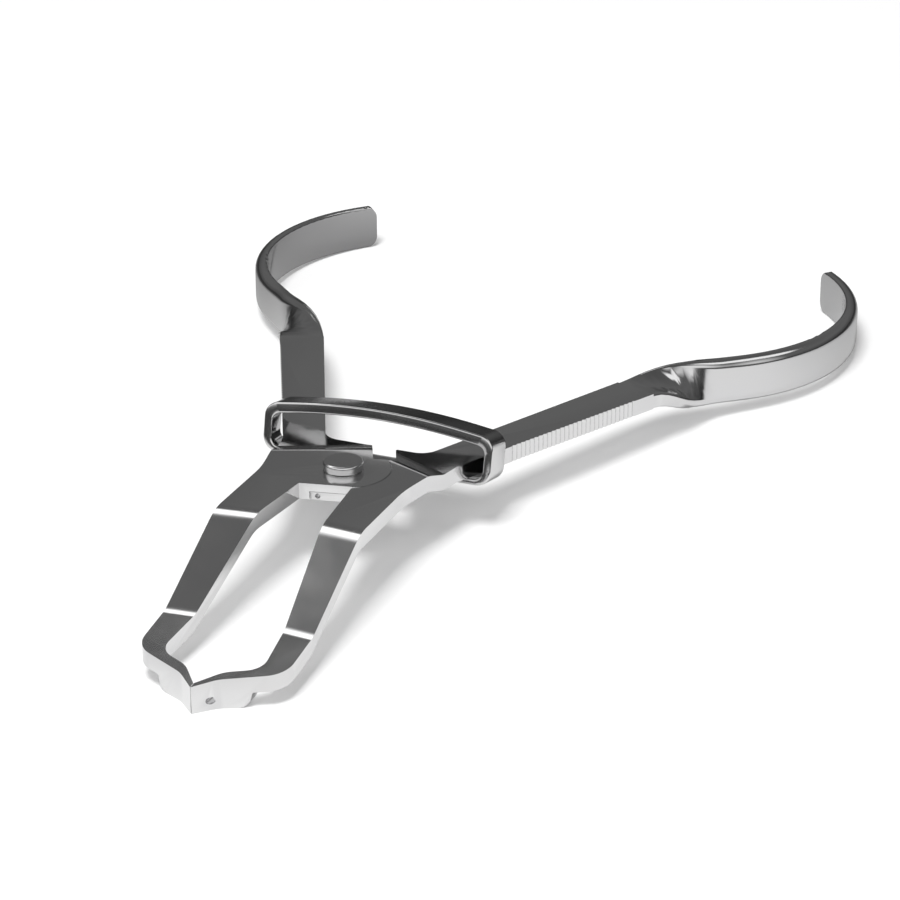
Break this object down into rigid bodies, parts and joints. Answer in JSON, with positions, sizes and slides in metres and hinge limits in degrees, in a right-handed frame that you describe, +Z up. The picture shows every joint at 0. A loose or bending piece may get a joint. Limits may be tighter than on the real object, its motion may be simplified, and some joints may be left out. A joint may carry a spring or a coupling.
{
  "type": "ring placement forceps",
  "caption": "Stainless ring placement forceps with finger hooks, footed jaw tips, a serrated handle edge and a sliding lock ring.",
  "frame": {"origin": "middle of the overall box, on the table that the forceps lies on", "axes": "+Y along the forceps from the jaw tips to the finger hooks, +Z up from the table, +X to the right half"},
  "size_m": [0.1154, 0.177, 0.0181],
  "materials": {
    "polished_steel": "polished",
    "brushed_steel": "brushed",
    "ring_steel": "satin"
  },
  "bodies": {
    "pivot": {"pivot_screw": "brushed_steel", "pivot_nut": "brushed_steel"},
    "left_side": {"left_half": "polished_steel"},
    "right_side": {"right_half": "polished_steel"},
    "ring": {"lock_ring": "ring_steel"}
  },
  "joints": [
    {"name": "left_swing", "type": "hinge", "parent": "pivot", "child": "left_side", "pos_m": [0, -0.03086, 0.01297], "axis": [0, -0.0469, -0.9989], "range_deg": [0, 9.5]},
    {"name": "right_swing", "type": "hinge", "parent": "pivot", "child": "right_side", "pos_m": [0, -0.03086, 0.01297], "axis": [0, 0.0469, 0.9989], "range_deg": [0, 9.5]},
    {"name": "ring_slide", "type": "slide", "parent": "pivot", "child": "ring", "axis": [0, 0.9989, -0.0469], "range_m": [0, 0.0096]}
  ],
  "couplings": [
    {"joint": "right_swing", "follows": "left_swing", "ratio": 1},
    {"joint": "ring_slide", "follows": "left_swing", "m_per_rad": 0.0573}
  ]
}
